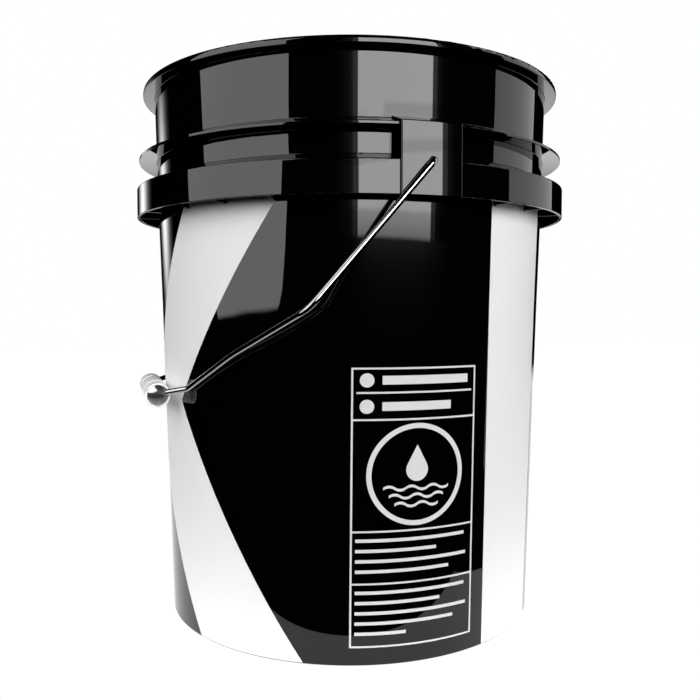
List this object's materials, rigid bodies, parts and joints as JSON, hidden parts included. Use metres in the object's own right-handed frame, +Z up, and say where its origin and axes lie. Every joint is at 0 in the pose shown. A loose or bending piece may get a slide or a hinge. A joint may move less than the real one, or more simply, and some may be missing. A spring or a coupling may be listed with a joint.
{
  "type": "wash bucket",
  "caption": "Open-topped round plastic wash bucket with a skirted, ringed neck, gusseted skirt, two ears and a swinging wire bail carrying a loose tubular hand grip.",
  "frame": {"origin": "centre of the pail's underside, on the plane it stands on", "axes": "+Z up out of the open mouth; the two ears lie on the Y axis; the bail hangs on the -X side at rest"},
  "size_m": [0.309, 0.325, 0.3683],
  "materials": {
    "pail_plastic": "glossy moulded polyethylene",
    "bail_steel": "bright drawn and plated wire",
    "grip_plastic": "satin moulded plastic",
    "decal_film": "smooth vinyl film",
    "print_ink": "screen-printed ink"
  },
  "bodies": {
    "pail": {"pail_body": "pail_plastic", "chevron_decal": "decal_film", "stripe_decal": "decal_film", "panel_decal": "print_ink"},
    "bail": {"bail_wire": "bail_steel"},
    "grip": {"bail_grip": "grip_plastic"}
  },
  "joints": [
    {"name": "bail_swing", "type": "hinge", "parent": "pail", "child": "bail", "pos_m": [0, 0, 0.2983], "axis": [0, 1, 0], "range_deg": [0, 266]},
    {"name": "grip_spin", "type": "hinge", "parent": "bail", "child": "grip", "pos_m": [-0.14479, 0, 0.15871], "axis": [0, 1, 0], "continuous": true}
  ]
}
